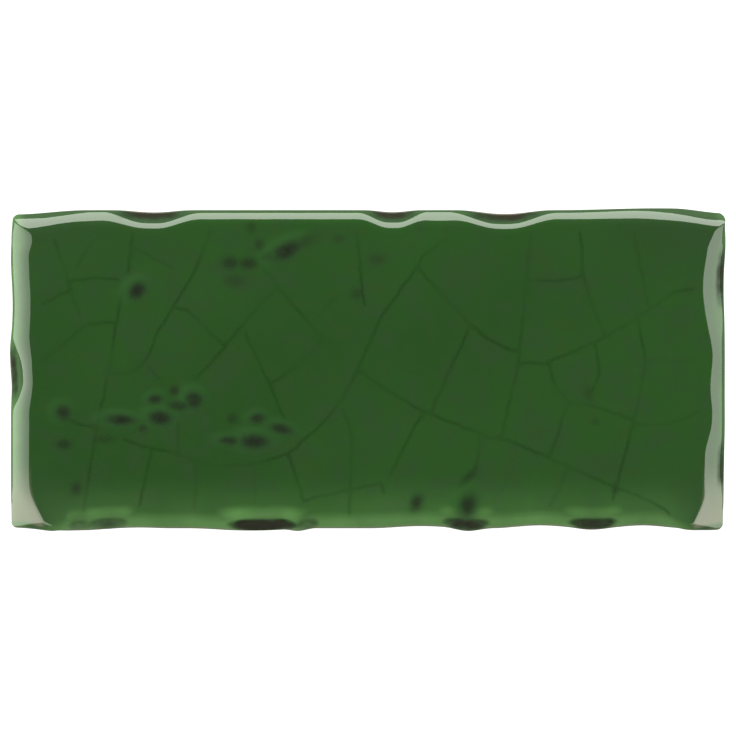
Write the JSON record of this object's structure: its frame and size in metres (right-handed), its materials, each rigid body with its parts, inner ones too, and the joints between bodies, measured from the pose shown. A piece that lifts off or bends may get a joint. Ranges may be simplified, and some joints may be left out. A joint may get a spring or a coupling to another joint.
{
  "type": "subway tile",
  "caption": "Rustic rectangular ceramic wall tile with a crackled green glaze, rolled edges pressed in by hand, pits in the face and a grooved back for bedding.",
  "frame": {"origin": "middle of the bedding face, in the plane of the back", "axes": "+X along the length, +Y across the width, +Z out of the glazed face"},
  "size_m": [0.15, 0.0677, 0.009],
  "materials": {
    "glaze": "glossy crackled green glaze over a buff fired clay body"
  },
  "bodies": {
    "root": {"tile": "glaze"}
  },
  "joints": []
}
